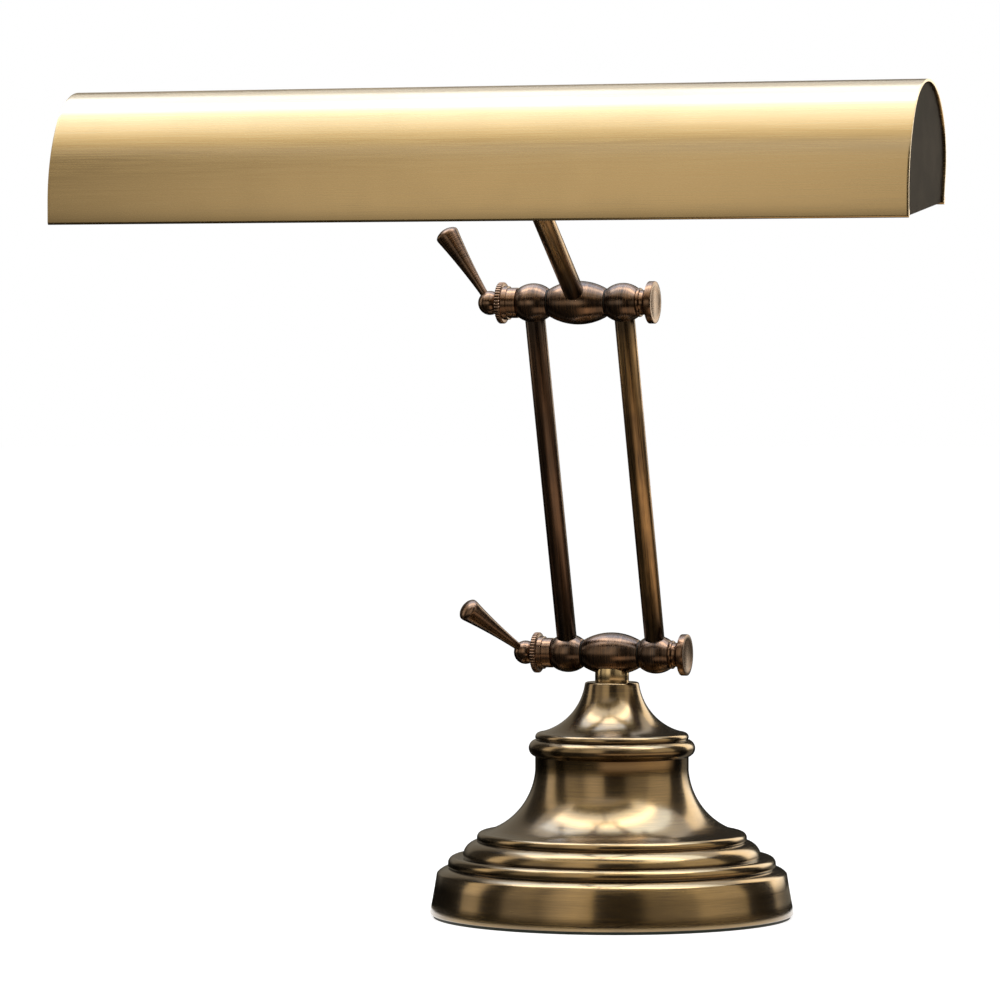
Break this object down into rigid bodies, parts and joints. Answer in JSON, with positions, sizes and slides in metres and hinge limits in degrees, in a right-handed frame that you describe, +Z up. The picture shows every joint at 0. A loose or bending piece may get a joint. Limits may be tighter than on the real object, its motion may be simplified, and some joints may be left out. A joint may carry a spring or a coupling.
{
  "type": "piano lamp",
  "caption": "Antique brass piano lamp: weighted stepped base, arm rods between clamp barrels with lever handles, and a long trough hood on a short rod.",
  "frame": {"origin": "middle of the felt disc it stands on", "axes": "+Z up, +X along the hood, to the right of someone who faces the lamp; the hood reaches forward over -Y"},
  "size_m": [0.3556, 0.2795, 0.3482],
  "materials": {
    "aged_brass": "antique, dark in the grooves",
    "dark_brass": "dark antique, warm",
    "satin_brass": "satin antique, brushed along the hood",
    "bright_brass": "polished",
    "steel": "plain plated",
    "iron": "rough cast",
    "felt": "short felt",
    "black_rubber": "matt",
    "black_plastic": "matt moulded",
    "cap_metal": "bright",
    "bulb_glass": "clear"
  },
  "bodies": {
    "base": {"felt_pad": "felt", "base_weight": "iron", "base_shell": "aged_brass", "cord_bushing": "black_rubber"},
    "neck": {"swivel_stud": "bright_brass", "swivel_washer": "steel", "swivel_nut": "steel", "lower_knuckle": "dark_brass"},
    "arms": {"lower_left_bead": "dark_brass", "lower_right_bead": "dark_brass", "lower_friction_washers": "steel", "lower_clamp_bolt": "dark_brass", "upper_left_bead": "dark_brass", "upper_right_bead": "dark_brass", "upper_friction_washers": "steel", "upper_clamp_bolt": "dark_brass", "left_arm": "dark_brass", "right_arm": "dark_brass"},
    "lower_lever": {"lower_lever_nut": "dark_brass", "lower_lever_handle": "dark_brass"},
    "upper_lever": {"upper_lever_nut": "dark_brass", "upper_lever_handle": "dark_brass"},
    "hood": {"upper_knuckle": "dark_brass", "hood_rod": "dark_brass", "shade_boss": "dark_brass", "shade_hood": "satin_brass", "left_end_plate": "satin_brass", "right_end_plate": "satin_brass", "lamp_bracket": "steel", "boss_screws": "steel", "left_lampholder": "black_plastic", "right_lampholder": "black_plastic", "left_bulb_cap": "cap_metal", "right_bulb_cap": "cap_metal", "left_bulb": "bulb_glass", "right_bulb": "bulb_glass", "switch_body": "black_plastic"},
    "switch": {"switch_spindle": "steel", "switch_knob": "black_plastic"}
  },
  "joints": [
    {"name": "neck_swivel", "type": "hinge", "parent": "base", "child": "neck", "pos_m": [0, 0, 0.101], "axis": [0, 0, 1], "range_deg": [-170, 170]},
    {"name": "arm_tilt", "type": "hinge", "parent": "neck", "child": "arms", "pos_m": [0, 0, 0.1131], "axis": [1, 0, 0], "range_deg": [-60, 55]},
    {"name": "hood_tilt", "type": "hinge", "parent": "arms", "child": "hood", "pos_m": [0, -0.05039, 0.26327], "axis": [1, 0, 0], "range_deg": [-100, 75]},
    {"name": "lower_lever_turn", "type": "hinge", "parent": "arms", "child": "lower_lever", "pos_m": [0, 0, 0.1131], "axis": [1, 0, 0], "range_deg": [-120, 20]},
    {"name": "upper_lever_turn", "type": "hinge", "parent": "arms", "child": "upper_lever", "pos_m": [0, -0.05039, 0.26327], "axis": [1, 0, 0], "range_deg": [-120, 20]},
    {"name": "switch_turn", "type": "hinge", "parent": "hood", "child": "switch", "pos_m": [0, -0.17033, 0.32088], "axis": [0, 0, 1], "continuous": true}
  ]
}
